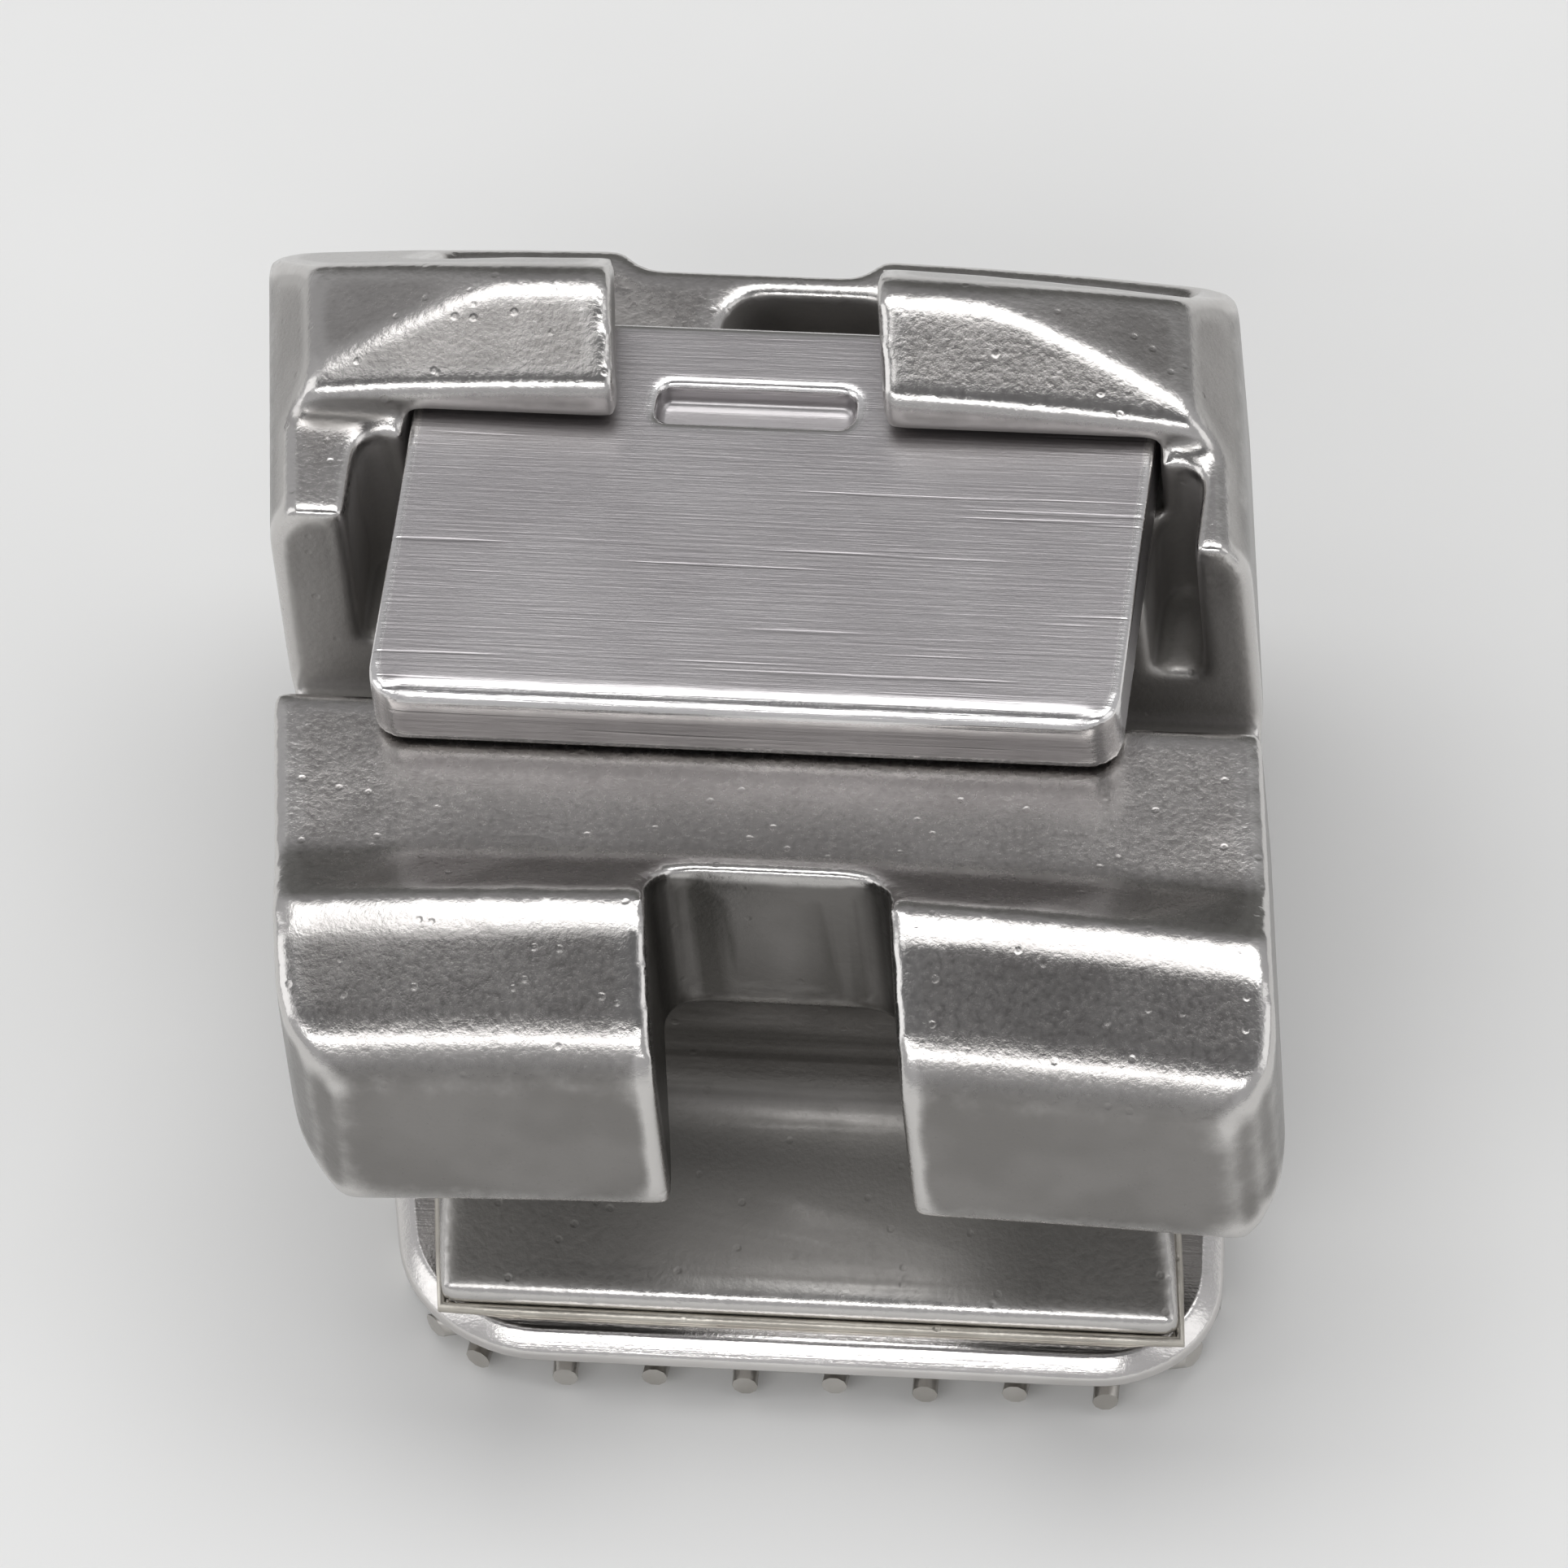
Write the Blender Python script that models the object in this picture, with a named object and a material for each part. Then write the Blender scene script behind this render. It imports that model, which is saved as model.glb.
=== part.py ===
"""Self-ligating bracket for an upper lateral incisor: a moulded metal body on a bonding pad, with a sliding door.

X runs along the archwire slot, +Y is the way the door opens, and +Z points from the tooth to the lip.
The bracket lies on its bonding pad: Z = 0 is the plane that the mesh of the pad touches.
"""

import math

import bmesh
import bpy
from mathutils import Matrix, Vector

MM = 0.001

# Archwire slot, the standard 0.022 by 0.028 inch
SLOT_HEIGHT = 0.559 * MM
SLOT_DEPTH = 0.711 * MM
SLOT_CHAMFER = 0.03 * MM

# Bonding pad
PAD_HEIGHT = 3.60 * MM
PAD_TOP_WIDTH = 3.30 * MM
PAD_BOTTOM_WIDTH = 2.86 * MM
PAD_CORNER = 0.46 * MM
FOIL_THICKNESS = 0.11 * MM
FOIL_BEVEL = 0.06 * MM
WIRE_DIAMETER = 0.10 * MM
WIRE_PITCH = 0.3175 * MM
WIRE_BITE = 0.03 * MM
MESH_MARGIN = 0.02 * MM
CORNER_PITCHES = 2.2
BRAZE = 0.010 * MM

# Body, seen from the side
FLOOR_THICKNESS = 1.00 * MM
FOOT_MARGIN = 0.13 * MM
FOOT_LIP = 0.10 * MM
NECK_RISE = 0.22 * MM
NECK_HALF_HEIGHT = 0.94 * MM
NECK_FILLET = 0.26 * MM
UNDERCUT_ROOF = 1.12 * MM
UNDERCUT_FILLET = 0.17 * MM
WING_REACH = 1.86 * MM
TIP_THICKNESS = 0.31 * MM
TIP_ROUND = 0.14 * MM
TIP_HEIGHT = 0.80 * MM
WING_SHOULDER = 1.62 * MM
WING_ROUND = 0.32 * MM

# Labial side of the lower wings: ledge, dish and ridge
LEDGE_WIDTH = 0.36 * MM
DISH_CENTRE = 1.00 * MM
DISH_RISE = 0.02 * MM
DISH_ROUND = 0.20 * MM
RIDGE_CENTRE = 1.36 * MM
RIDGE_RISE = 0.21 * MM
RIDGE_ROUND = 0.10 * MM
RIDGE_LAND = 0.14 * MM
RIDGE_TILT = math.radians(13.0)

# Roofs over the door: a low front edge, a facet that rises to the crest, and the slope down to the tips
ROOF_FRONT = 0.74 * MM
ROOF_LIP = 0.17 * MM
ROOF_EDGE_ROUND = 0.07 * MM
CREST_CENTRE = 1.16 * MM
CREST_HEIGHT = 0.36 * MM
CREST_ROUND = 0.16 * MM
UPPER_GAP_WIDTH = 0.94 * MM
CROWN_RADIUS = 4.4 * MM
CROWN_CLEAR = 0.02 * MM
CONTOUR_RADIUS = 11.0 * MM
DISH_DROP = 0.2
SHOULDER_DROP = 0.7
TIP_DROP = 0.5
ROOF_DROP = 0.9
BLOCK_SHARE = 1.2

# Body, seen along Y: foot, waist and flanks
BODY_WIDTH = 3.46 * MM
WAIST_INSET = 0.08 * MM
WAIST_RISE = 0.36 * MM
FLANK_RISE = 0.95 * MM
SHOULDER_RISE = 1.84 * MM
SHOULDER_INSET = 0.18 * MM
FLANK_ROUND = 0.25 * MM
WING_CORNER = 0.30 * MM
ANGULATION = math.radians(8.0)
NOTCH_WIDTH = 0.84 * MM
NOTCH_ROUND = 0.14 * MM
NOTCH_START = 1.06 * MM
SIDE_GROOVE_WIDTH = 0.18 * MM
SIDE_GROOVE_DEPTH = 0.42 * MM
SIDE_GROOVE_ROUND = 0.08 * MM
RAIL_WIDTH = 0.42 * MM

# Sliding door
DOOR_THICKNESS = 0.25 * MM
DOOR_OVERLAP = 0.24 * MM
DOOR_HIDDEN = 0.48 * MM
DOOR_CORNER = 0.12 * MM
DOOR_EDGE = 0.05 * MM
DOOR_LEAD = 0.08 * MM
DOOR_CLEARANCE = 0.02 * MM
DOOR_TRAVEL = 0.80 * MM
TOOL_RECESS_WIDTH = 0.70 * MM
TOOL_RECESS_HEIGHT = 0.17 * MM
TOOL_RECESS_DEPTH = 0.10 * MM
TOOL_RECESS_OFFSET = 0.03 * MM

# Locking spring and the stud that runs between its legs
STUD_RADIUS = 0.12 * MM
STUD_CENTRE = 0.66 * MM
SPRING_WIRE = 0.11 * MM
SPRING_CLEARANCE = 0.015 * MM
SPRING_SPREAD = 0.04 * MM
POCKET_CLEARANCE = 0.03 * MM
POCKET_DEPTH = 0.27 * MM
POCKET_ROUND = 0.14 * MM
POCKET_WALL = 0.11 * MM

ARC_STEPS = 4
CROWN_STEPS = 12
CONTOUR_STEPS = 10
STUD_SIDES = 24
LEG_STEPS = 10
BEND_STEPS = 8
BEYOND = 3.0 * MM

# Levels and places that follow from the sizes above
MESH_TOP = 2 * WIRE_DIAMETER - WIRE_BITE
FOIL_BOTTOM = MESH_TOP + BRAZE
FOIL_TOP = FOIL_BOTTOM + FOIL_THICKNESS
BODY_BOTTOM = FOIL_TOP + BRAZE
SLOT_FLOOR = BODY_BOTTOM + FLOOR_THICKNESS
DOOR_INNER = SLOT_FLOOR + SLOT_DEPTH
DOOR_OUTER = DOOR_INNER + DOOR_THICKNESS
DOOR_MIDDLE = DOOR_INNER + DOOR_THICKNESS / 2
CHANNEL_FLOOR = DOOR_INNER - DOOR_CLEARANCE
CHANNEL_ROOF = DOOR_OUTER + DOOR_CLEARANCE
DOOR_WIDTH = BODY_WIDTH - 2 * RAIL_WIDTH
CHANNEL_HALF_WIDTH = DOOR_WIDTH / 2 + DOOR_CLEARANCE
CREST = CHANNEL_ROOF + CREST_HEIGHT
FOOT_HALF_HEIGHT = PAD_HEIGHT / 2 - FOOT_MARGIN
FOOT_HALF_WIDTH = PAD_BOTTOM_WIDTH / 2 - FOOT_MARGIN
UNDERCUT_MIDDLE = BODY_BOTTOM + (FOOT_LIP + UNDERCUT_ROOF) / 2
DOOR_BOTTOM = -SLOT_HEIGHT / 2 - DOOR_OVERLAP
DOOR_TOP = ROOF_FRONT + DOOR_HIDDEN
LEG_CENTRE = STUD_RADIUS + SPRING_CLEARANCE + SPRING_WIRE / 2
POCKET_FLOOR = CHANNEL_FLOOR - POCKET_DEPTH
POCKET_HALF_WIDTH = LEG_CENTRE + SPRING_WIRE / 2 + SPRING_SPREAD + POCKET_CLEARANCE
POCKET_START = STUD_CENTRE - LEG_CENTRE - SPRING_WIRE / 2 - POCKET_CLEARANCE
POCKET_END = STUD_CENTRE + DOOR_TRAVEL + STUD_RADIUS + POCKET_CLEARANCE
LEAN = math.tan(ANGULATION)


def clear_scene():
    for item in list(bpy.data.objects):
        bpy.data.objects.remove(item, do_unlink=True)


def metal(name, colour, roughness):
    material = bpy.data.materials.new(name)
    material.use_nodes = True
    shader = material.node_tree.nodes["Principled BSDF"]
    shader.inputs["Base Color"].default_value = (*colour, 1.0)
    shader.inputs["Metallic"].default_value = 1.0
    shader.inputs["Roughness"].default_value = roughness
    return material


def fillet(before, corner, after, radius, steps):
    """Points of the arc that rounds a corner of an outline; a fillet never eats more than half of a side."""
    to_before = (before - corner).normalized()
    to_after = (after - corner).normalized()
    half = to_before.angle(to_after) / 2
    reach = radius / math.tan(half)
    room = 0.48 * min((before - corner).length, (after - corner).length)
    if reach > room:
        reach = room
        radius = reach * math.tan(half)
    centre = corner + (to_before + to_after).normalized() * radius / math.sin(half)
    first = corner + to_before * reach - centre
    last = corner + to_after * reach - centre
    sweep = first.angle_signed(last)
    points = []
    for step in range(steps + 1):
        turned = first.copy()
        turned.rotate(Matrix.Rotation(-sweep * step / steps, 2))
        points.append(centre + turned)
    return points


def outline(corners, steps=ARC_STEPS):
    """A closed outline from (u, v, fillet radius) corners."""
    spots = [Vector((u, v)) for u, v, _ in corners]
    points = []
    for index, (_, _, radius) in enumerate(corners):
        if radius > 0:
            after = spots[(index + 1) % len(spots)]
            points += fillet(spots[index - 1], spots[index], after, radius, steps)
        else:
            points.append(spots[index])
    return points


def rectangle(left, bottom, right, top, radius=0.0):
    return outline([(left, bottom, radius), (right, bottom, radius), (right, top, radius), (left, top, radius)])


def solid(name, shape, material=None):
    """A named object from a finished bmesh, its faces turned outwards."""
    bmesh.ops.recalc_face_normals(shape, faces=shape.faces)
    mesh = bpy.data.meshes.new(name)
    shape.to_mesh(mesh)
    shape.free()
    item = bpy.data.objects.new(name, mesh)
    bpy.context.scene.collection.objects.link(item)
    if material:
        mesh.materials.append(material)
    return item


def add_tube(shape, sections):
    """Faces through sections with equally many points each, with a flat cap at both ends."""
    rings = [[shape.verts.new(point) for point in section] for section in sections]
    count = len(rings[0])
    for lower, upper in zip(rings, rings[1:]):
        for index in range(count):
            following = (index + 1) % count
            shape.faces.new((lower[index], lower[following], upper[following], upper[index]))
    shape.faces.new(list(reversed(rings[0])))
    shape.faces.new(rings[-1])


def loft(name, sections, material=None):
    shape = bmesh.new()
    add_tube(shape, sections)
    return solid(name, shape, material)


def prism(name, points, axis, low, high, material=None):
    """An outline pushed from low to high along X, Y or Z; the other two axes are the outline's, in that order."""
    places = {
        "X": lambda point, level: (level, point.x, point.y),
        "Y": lambda point, level: (point.x, level, point.y),
        "Z": lambda point, level: (point.x, point.y, level),
    }
    place = places[axis]
    return loft(name, [[place(point, level) for point in points] for level in (low, high)], material)


def leaning(item):
    """Lean a shape so that its upright sides follow the tooth's long axis, while those along the slot stay."""
    item.data.transform(Matrix(((1, -LEAN, 0, 0), (0, 1, 0, 0), (0, 0, 1, 0), (0, 0, 0, 1))))
    return item


def combine(item, other, operation):
    """Join, cut or keep what is shared, with the other shape kept as a hidden guide."""
    modifier = item.modifiers.new(other.name, "BOOLEAN")
    modifier.operation = operation
    modifier.object = other
    modifier.solver = "EXACT"
    other.hide_render = True
    other.display_type = "WIRE"


def wing_corners(side):
    """The outer half of the side outline that both pairs of wings share: (y, rise over the foil, fillet, drop)."""
    return [
        (side * FOOT_HALF_HEIGHT, 0.0, 0.0, 0.0),
        (side * FOOT_HALF_HEIGHT, FOOT_LIP, FOOT_LIP / 3, 0.0),
        (side * NECK_HALF_HEIGHT, FOOT_LIP + NECK_RISE, NECK_FILLET, 0.0),
        (side * NECK_HALF_HEIGHT, UNDERCUT_ROOF, UNDERCUT_FILLET, 0.0),
        (side * (WING_REACH - TIP_THICKNESS), TIP_HEIGHT, TIP_ROUND, TIP_DROP),
        (side * WING_REACH, TIP_HEIGHT, TIP_ROUND, TIP_DROP),
        (side * WING_REACH, WING_SHOULDER, WING_ROUND, SHOULDER_DROP),
    ]


def side_corners():
    """The body's side outline, lower wings first, as (y, z, fillet, drop of the labial contour)."""
    ledge = CHANNEL_FLOOR - BODY_BOTTOM
    rail = DOOR_OUTER - BODY_BOTTOM
    lip = CHANNEL_ROOF + ROOF_LIP - BODY_BOTTOM
    slot_edge = SLOT_HEIGHT / 2
    land_fall = RIDGE_LAND * math.tan(RIDGE_TILT)
    lower = wing_corners(-1) + [
        (-RIDGE_CENTRE - RIDGE_LAND / 2, ledge + RIDGE_RISE - land_fall, RIDGE_ROUND, 1.0),
        (-RIDGE_CENTRE + RIDGE_LAND / 2, ledge + RIDGE_RISE, RIDGE_ROUND, 1.0),
        (-DISH_CENTRE, ledge + DISH_RISE, DISH_ROUND, DISH_DROP),
        (-slot_edge - LEDGE_WIDTH, ledge, SLOT_CHAMFER, 0.0),
        (-slot_edge / 2, ledge, 0.0, 0.0),
    ]
    upper = wing_corners(1) + [
        (CREST_CENTRE, CREST - BODY_BOTTOM, CREST_ROUND, ROOF_DROP),
        (ROOF_FRONT, lip, ROOF_EDGE_ROUND, ROOF_DROP),
        (ROOF_FRONT, rail, ROOF_EDGE_ROUND, 0.0),
        (-slot_edge / 2, rail, 0.0, 0.0),
    ]
    return [(y, BODY_BOTTOM + rise, radius, drop) for y, rise, radius, drop in lower + upper[::-1]]


def body_block():
    """The side outline carried across the width, wings and roofs falling away along the curve of the tooth.

    Four-sided faces aren't flat where the fall changes along the outline, so they are halved.
    """
    sections = []
    for step in range(CONTOUR_STEPS + 1):
        x = BLOCK_SHARE * BODY_WIDTH / 2 * (2 * step / CONTOUR_STEPS - 1)
        fall = x * x / (2 * CONTOUR_RADIUS)
        corners = [(y, z - drop * fall, radius) for y, z, radius, drop in side_corners()]
        sections.append([(x - LEAN * point.x, point.x, point.y) for point in outline(corners)])
    shape = bmesh.new()
    add_tube(shape, sections)
    bmesh.ops.triangulate(shape, faces=[face for face in shape.faces if len(face.verts) == 4])
    return solid("bracket_body", shape, metal("moulded_steel", (0.60, 0.585, 0.575), 0.22))


def crown():
    """The arc over the upper wings, highest between them, that their crests are cut to."""
    reach = BODY_WIDTH / 2 - SHOULDER_INSET
    points = []
    for step in range(CROWN_STEPS + 1):
        x = reach * (1 - 2 * step / CROWN_STEPS)
        points.append((x, CREST + CROWN_CLEAR - x * x / (2 * CROWN_RADIUS), 0.0))
    return points


def flank_outline():
    """The body seen along Y: foot, waist, flanks, rounded shoulders and crown."""
    half = [
        (FOOT_HALF_WIDTH, 0.0, 0.0),
        (FOOT_HALF_WIDTH, FOOT_LIP, FOOT_LIP / 3),
        (FOOT_HALF_WIDTH - WAIST_INSET, WAIST_RISE, FLANK_ROUND),
        (BODY_WIDTH / 2, FLANK_RISE, FLANK_ROUND),
        (BODY_WIDTH / 2, SHOULDER_RISE, FLANK_ROUND),
    ]
    right = [(x, BODY_BOTTOM + rise, radius) for x, rise, radius in half]
    left = [(-x, z, radius) for x, z, radius in right[::-1]]
    return outline(right + crown() + left)


def slot_outline():
    """The archwire slot with its floor, its chamfer carried on past the ledge, and open above."""
    half = SLOT_HEIGHT / 2
    top = CREST + BRAZE
    past = 2 * SLOT_CHAMFER
    return outline([
        (-half, SLOT_FLOOR, 0.0),
        (half, SLOT_FLOOR, 0.0),
        (half, top, 0.0),
        (-half - past, top, 0.0),
        (-half - past, CHANNEL_FLOOR + past - SLOT_CHAMFER, 0.0),
        (-half, CHANNEL_FLOOR - SLOT_CHAMFER, 0.0),
    ])


def notch(name, width, start, end, low):
    """A leaning cutter with round corners from one y to the other, open above."""
    points = rectangle(-width / 2, min(start, end), width / 2, max(start, end), NOTCH_ROUND)
    return leaning(prism(name, points, "Z", low, BEYOND))


def body():
    item = body_block()
    half = BODY_WIDTH / 2
    reach = WING_REACH + BRAZE
    combine(item, leaning(prism("guide_flanks", flank_outline(), "Y", -BEYOND, BEYOND)), "INTERSECT")
    plan = rectangle(-half, -reach, half, reach, WING_CORNER)
    combine(item, leaning(prism("guide_plan", plan, "Z", -BEYOND, BEYOND)), "INTERSECT")

    tip_gap_start = POCKET_END + POCKET_WALL
    combine(item, notch("cut_lower_notch", NOTCH_WIDTH, -NOTCH_START, -BEYOND, UNDERCUT_MIDDLE), "DIFFERENCE")
    combine(item, notch("cut_roof_gap", UPPER_GAP_WIDTH, 0.0, BEYOND, DOOR_MIDDLE), "DIFFERENCE")
    combine(item, notch("cut_tip_gap", UPPER_GAP_WIDTH, tip_gap_start, BEYOND, UNDERCUT_MIDDLE), "DIFFERENCE")
    combine(item, prism("cut_slot", slot_outline(), "X", -BEYOND, BEYOND), "DIFFERENCE")

    channel = rectangle(-CHANNEL_HALF_WIDTH, CHANNEL_FLOOR, CHANNEL_HALF_WIDTH, CHANNEL_ROOF)
    combine(item, prism("cut_channel", channel, "Y", 0.0, BEYOND), "DIFFERENCE")
    for side, name in ((-1, "cut_left_groove"), (1, "cut_right_groove")):
        near = side * DOOR_WIDTH / 2
        left = min(near, near + side * SIDE_GROOVE_WIDTH)
        end = ROOF_FRONT - ROOF_EDGE_ROUND
        groove = rectangle(left, 0.0, left + SIDE_GROOVE_WIDTH, end, SIDE_GROOVE_ROUND)
        combine(item, prism(name, groove, "Z", CHANNEL_FLOOR - SIDE_GROOVE_DEPTH, BEYOND), "DIFFERENCE")
    pocket = rectangle(-POCKET_HALF_WIDTH, POCKET_START, POCKET_HALF_WIDTH, POCKET_END, POCKET_ROUND)
    combine(item, prism("cut_spring_pocket", pocket, "Z", POCKET_FLOOR, DOOR_MIDDLE), "DIFFERENCE")
    return item


def door():
    """The door's plate with rounded edges, a recess for the opening tool, and the stud on its inner face."""
    steel = metal("satin_steel", (0.56, 0.545, 0.55), 0.34)
    half = DOOR_WIDTH / 2
    profile = outline([
        (DOOR_BOTTOM, DOOR_INNER, DOOR_EDGE / 2),
        (DOOR_TOP, DOOR_INNER, DOOR_EDGE / 2),
        (DOOR_TOP, DOOR_OUTER, DOOR_EDGE),
        (DOOR_BOTTOM, DOOR_OUTER, DOOR_LEAD),
    ])
    plate = prism("sliding_door", profile, "X", -half, half, steel)
    plan = rectangle(-half, DOOR_BOTTOM, half, DOOR_TOP, DOOR_CORNER)
    rounded = prism("guide_door_plan", plan, "Z", DOOR_INNER - BRAZE, DOOR_OUTER + BRAZE)
    combine(plate, rounded, "INTERSECT")

    recess_start = ROOF_FRONT + TOOL_RECESS_OFFSET
    recess_half = TOOL_RECESS_WIDTH / 2
    centre = -LEAN * recess_start
    recess = rectangle(
        centre - recess_half, recess_start, centre + recess_half, recess_start + TOOL_RECESS_HEIGHT, DOOR_EDGE
    )
    cutter = prism("cut_tool_recess", recess, "Z", DOOR_OUTER - TOOL_RECESS_DEPTH, DOOR_OUTER + BRAZE)
    combine(plate, cutter, "DIFFERENCE")

    turns = [2 * math.pi * step / STUD_SIDES for step in range(STUD_SIDES)]
    circle = [STUD_RADIUS * Vector((math.cos(turn), math.sin(turn))) + Vector((0, STUD_CENTRE)) for turn in turns]
    stud_end = POCKET_FLOOR + POCKET_CLEARANCE
    combine(plate, prism("guide_stud", circle, "Z", stud_end, DOOR_MIDDLE), "UNION")
    return plate


def spring_route():
    """Places along the hairpin: down the left leg, round the bend that holds the stud, and up the right leg.

    Each leg bows out where the stud stays, and is closest to the other leg at its two ends and half-way.
    """
    leg_length = POCKET_END - POCKET_CLEARANCE - SPRING_WIRE / 2 - STUD_CENTRE
    leg = []
    for step in range(1, LEG_STEPS + 1):
        along = step / LEG_STEPS
        spread = SPRING_SPREAD * math.sin(2 * math.pi * along) ** 2
        leg.append((LEG_CENTRE + spread, STUD_CENTRE + leg_length * along))
    turns = [math.pi * step / BEND_STEPS for step in range(BEND_STEPS + 1)]
    bend = [(-LEG_CENTRE * math.cos(turn), STUD_CENTRE - LEG_CENTRE * math.sin(turn)) for turn in turns]
    return [(-x, y) for x, y in reversed(leg)] + bend + leg


def locking_spring():
    """The hairpin of round wire in its pocket."""
    level = POCKET_FLOOR + POCKET_CLEARANCE + SPRING_WIRE / 2
    curve = bpy.data.curves.new("locking_spring", "CURVE")
    curve.dimensions = "3D"
    curve.bevel_depth = SPRING_WIRE / 2
    curve.bevel_resolution = 2
    curve.use_fill_caps = True
    route = spring_route()
    spline = curve.splines.new("POLY")
    spline.points.add(len(route) - 1)
    for point, (x, y) in zip(spline.points, route):
        point.co = (x, y, level, 1.0)
    item = bpy.data.objects.new("locking_spring", curve)
    curve.materials.append(metal("spring_wire", (0.50, 0.49, 0.48), 0.25))
    bpy.context.scene.collection.objects.link(item)
    return item


def pad_outline(margin=0.0):
    """The pad seen from the front: tapered to the lower end, with round corners."""
    bottom = PAD_BOTTOM_WIDTH / 2 - margin
    top = PAD_TOP_WIDTH / 2 - margin
    half = PAD_HEIGHT / 2 - margin
    radius = PAD_CORNER - margin
    corners = [(-bottom, -half, radius), (bottom, -half, radius), (top, half, radius), (-top, half, radius)]
    return outline(corners, 2 * ARC_STEPS)


def bonding_foil():
    """The foil under the body, the rim of its labial side bevelled."""
    steps = ((0.0, FOIL_BOTTOM), (0.0, FOIL_TOP - FOIL_BEVEL), (FOIL_BEVEL, FOIL_TOP))
    sections = [[(point.x, point.y, level) for point in pad_outline(margin)] for margin, level in steps]
    return leaning(loft("bonding_foil", sections, metal("foil_steel", (0.58, 0.565, 0.555), 0.30)))


def chord(points, level, axis):
    """How much of the line at this level of the axis lies inside an outline."""
    crossings = []
    for index, point in enumerate(points):
        before = points[index - 1]
        if (before[axis] > level) != (point[axis] > level):
            part = (level - before[axis]) / (point[axis] - before[axis])
            crossings.append(before.lerp(point, part)[1 - axis])
    return max(crossings) - min(crossings) if crossings else 0.0


def wires(name, along_x, centre_level, material=None):
    """One layer of the mesh: parallel six-sided wires that lie on their flats, a pitch apart, longer than the pad.

    A wire that would only clip a corner of the pad is left out, since nothing would hold it there.
    """
    pad = [Vector((point.x - LEAN * point.y, point.y)) for point in pad_outline(MESH_MARGIN)]
    radius = WIRE_DIAMETER / 2 / math.cos(math.pi / 6)
    count = int(BEYOND / WIRE_PITCH)
    shape = bmesh.new()
    for index in range(-count, count + 1):
        if chord(pad, index * WIRE_PITCH, 1 if along_x else 0) < CORNER_PITCHES * WIRE_PITCH:
            continue
        rings = []
        for end in (-BEYOND, BEYOND):
            ring = []
            for step in range(6):
                across = index * WIRE_PITCH + radius * math.cos(math.pi / 3 * step)
                level = centre_level + radius * math.sin(math.pi / 3 * step)
                ring.append((end, across, level) if along_x else (across, end, level))
            rings.append(ring)
        add_tube(shape, rings)
    return solid(name, shape, material)


def bonding_mesh():
    """The wire mesh under the foil, its wires fused where they cross, cut to the pad's outline."""
    steel = metal("mesh_steel", (0.55, 0.53, 0.50), 0.38)
    item = wires("bonding_mesh", True, WIRE_DIAMETER / 2, steel)
    combine(item, wires("guide_upright_wires", False, MESH_TOP - WIRE_DIAMETER / 2), "UNION")
    cloth = prism("guide_mesh_outline", pad_outline(MESH_MARGIN), "Z", -WIRE_DIAMETER, MESH_TOP + WIRE_DIAMETER)
    combine(item, leaning(cloth), "INTERSECT")
    return item


def smooth(item):
    """Soft shading over the rounded edges, with the true edges kept sharp."""
    for face in item.data.polygons:
        face.use_smooth = True
    item.data.set_sharp_from_angle(angle=math.radians(35))


def main():
    clear_scene()
    for item in (body(), door(), bonding_foil(), bonding_mesh()):
        smooth(item)
    locking_spring()


main()
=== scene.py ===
# %% [markdown]
# # A sliding-door orthodontic bracket
#
# The bracket is about 4 mm across: a moulded steel body with tie wings, a satin door that closes the
# archwire slot, and a pad of foil and fine woven mesh that is glued to the tooth.
# The frame gives the exact solids. This lesson gives each of them the shape and surface of the real metal.

# %% Load the frame
import math

import bpy
import numpy as np
from mathutils import Matrix, Vector
from mathutils.bvhtree import BVHTree


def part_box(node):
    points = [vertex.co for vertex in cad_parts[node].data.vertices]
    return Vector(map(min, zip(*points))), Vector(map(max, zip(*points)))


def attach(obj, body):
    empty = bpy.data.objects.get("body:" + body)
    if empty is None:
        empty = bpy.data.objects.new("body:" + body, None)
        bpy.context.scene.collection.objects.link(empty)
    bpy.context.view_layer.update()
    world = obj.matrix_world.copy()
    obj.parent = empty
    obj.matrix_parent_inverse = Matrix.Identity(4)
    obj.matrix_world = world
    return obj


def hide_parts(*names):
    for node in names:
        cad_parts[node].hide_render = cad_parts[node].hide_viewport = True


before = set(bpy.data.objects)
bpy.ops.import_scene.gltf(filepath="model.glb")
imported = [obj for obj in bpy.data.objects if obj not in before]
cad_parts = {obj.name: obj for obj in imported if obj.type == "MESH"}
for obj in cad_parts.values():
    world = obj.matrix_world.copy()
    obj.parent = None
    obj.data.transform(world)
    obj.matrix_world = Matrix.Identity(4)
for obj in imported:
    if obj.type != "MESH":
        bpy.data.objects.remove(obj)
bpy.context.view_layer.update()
scene = bpy.context.scene
scene.view_settings.view_transform = "Standard"

# %% [markdown]
# ## Working in millimetres
#
# Blender's merge distances, voxels and bevels are made for things a metre across, and a voxel can't be finer
# than 0.1 mm. So each piece is modelled a thousand times too large, one unit to the millimetre, and is
# brought to metres when it is finished, with its place kept in its mesh.

# %% Selecting, applying and finishing
MM = 0.001
MERGE_DISTANCE = 0.0002
LEAN = math.tan(math.radians(8.0))


def nothing_selected():
    """Every operator acts on the whole selection, and the frame leaves its nodes selected."""
    bpy.ops.object.select_all(action="DESELECT")


def pick(*pieces):
    nothing_selected()
    for piece in pieces:
        piece.select_set(True)
    bpy.context.view_layer.objects.active = pieces[0]
    return pieces[0]


def apply_modifier(piece, kind, **settings):
    """Adds one modifier with its settings and applies it at once."""
    pick(piece)
    modifier = piece.modifiers.new(kind.title(), kind)
    for key, value in settings.items():
        setattr(modifier, key, value)
    bpy.ops.object.modifier_apply(modifier=modifier.name)


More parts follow.
